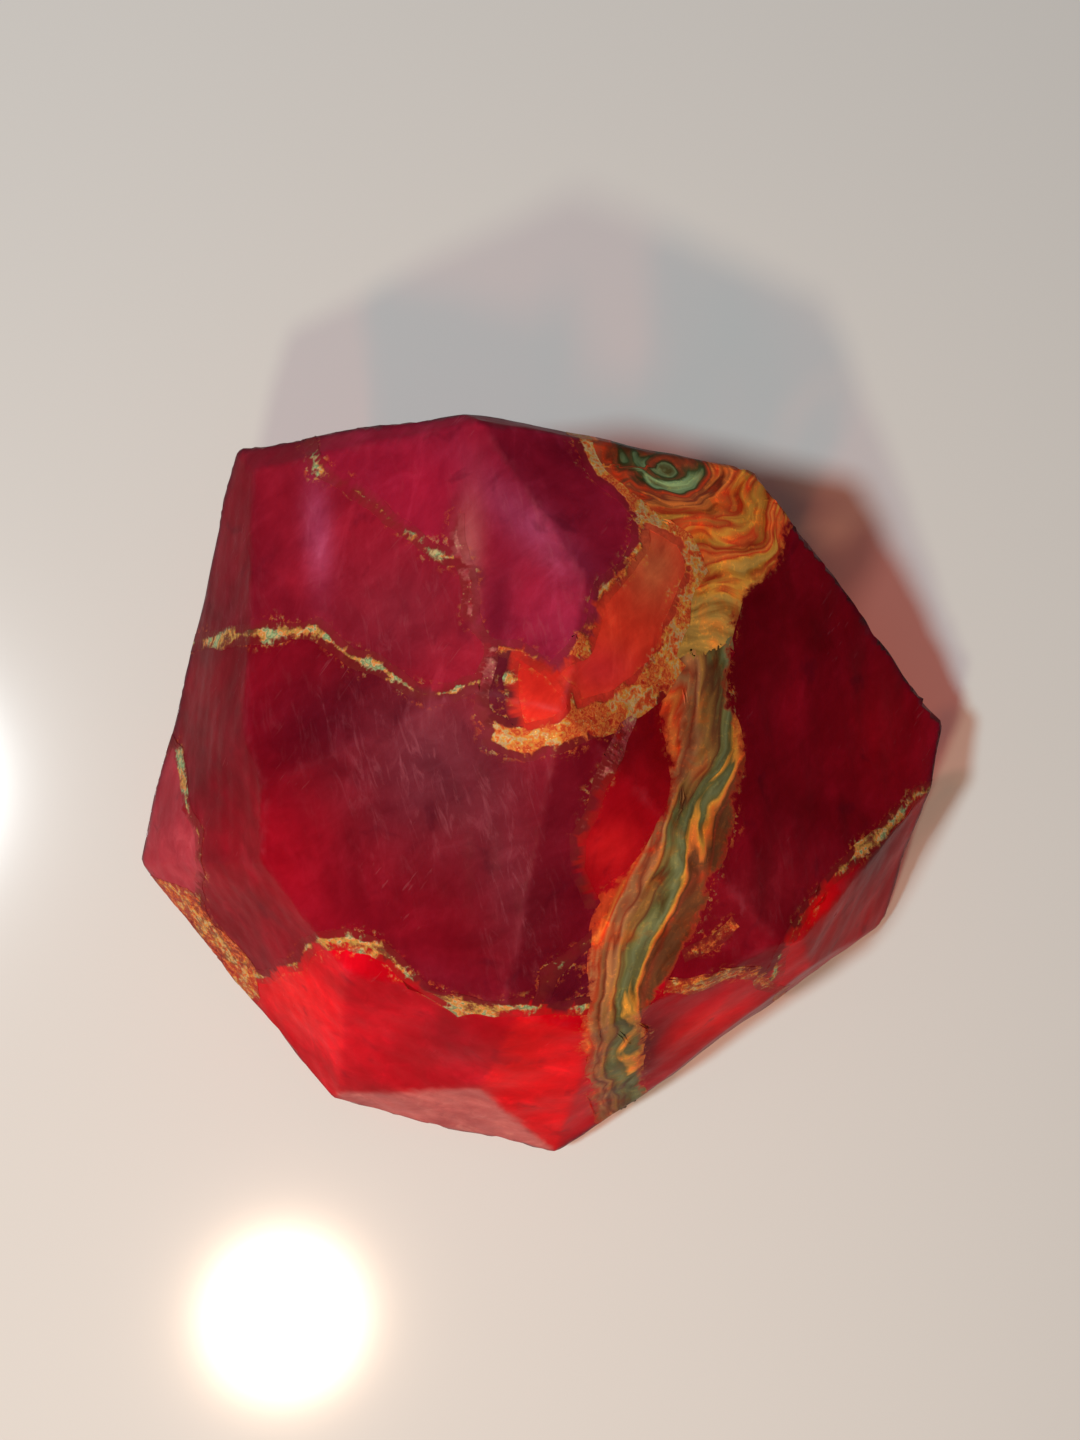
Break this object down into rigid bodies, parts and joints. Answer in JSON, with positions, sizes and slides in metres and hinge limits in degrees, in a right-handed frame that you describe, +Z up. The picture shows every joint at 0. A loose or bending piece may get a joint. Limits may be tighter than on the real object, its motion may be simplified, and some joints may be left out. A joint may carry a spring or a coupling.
{
  "type": "gem-shaped soap casting",
  "caption": "Faceted gemstone-shaped soap casting: translucent red chunks bonded along mica veins, with a marbled orange and green band and a flat base.",
  "frame": {"origin": "centre of the footprint at the surface that the casting rests on", "axes": "+Z up, +X along the longest side, the steep lower facets face -Y"},
  "size_m": [0.0884, 0.0784, 0.044],
  "materials": {
    "crimson_soap": "satin gloss, translucent",
    "scarlet_soap": "satin gloss, translucent",
    "dark_red_soap": "satin gloss, translucent",
    "flame_soap": "satin gloss, translucent",
    "mica": "satin, mineral flecks",
    "orange_layer": "satin, marbled",
    "umber_layer": "satin, marbled",
    "green_layer": "satin, marbled",
    "rust_layer": "satin, marbled"
  },
  "bodies": {
    "root": {"vein_lobe": "mica", "mica_apex": "mica", "band_orange_layer": "orange_layer", "band_umber_layer": "umber_layer", "band_green_layer": "green_layer", "band_rust_layer": "rust_layer", "lobe_green_lens": "green_layer", "lobe_orange_core": "orange_layer", "lobe_gold_rim": "mica", "vein_ridge": "mica", "vein_left": "mica", "vein_upper_left": "mica", "vein_lens": "mica", "vein_lens_rim": "mica", "vein_flame": "mica", "vein_heart": "mica", "mica_west": "mica", "vein_lower_left": "mica", "vein_branch": "mica", "vein_west": "mica", "vein_south_east": "mica", "vein_east_edge": "mica", "vein_spur": "mica", "chunk_north_west": "crimson_soap", "chunk_north": "crimson_soap", "chunk_main": "crimson_soap", "chunk_crescent": "dark_red_soap", "chunk_orange_lens": "flame_soap", "chunk_flame": "flame_soap", "chunk_heart": "scarlet_soap", "chunk_east": "dark_red_soap", "chunk_east_edge": "scarlet_soap", "chunk_south_east": "scarlet_soap", "chunk_south_west": "scarlet_soap", "chunk_triangle": "crimson_soap", "chunk_west_chip": "scarlet_soap"}
  },
  "joints": []
}
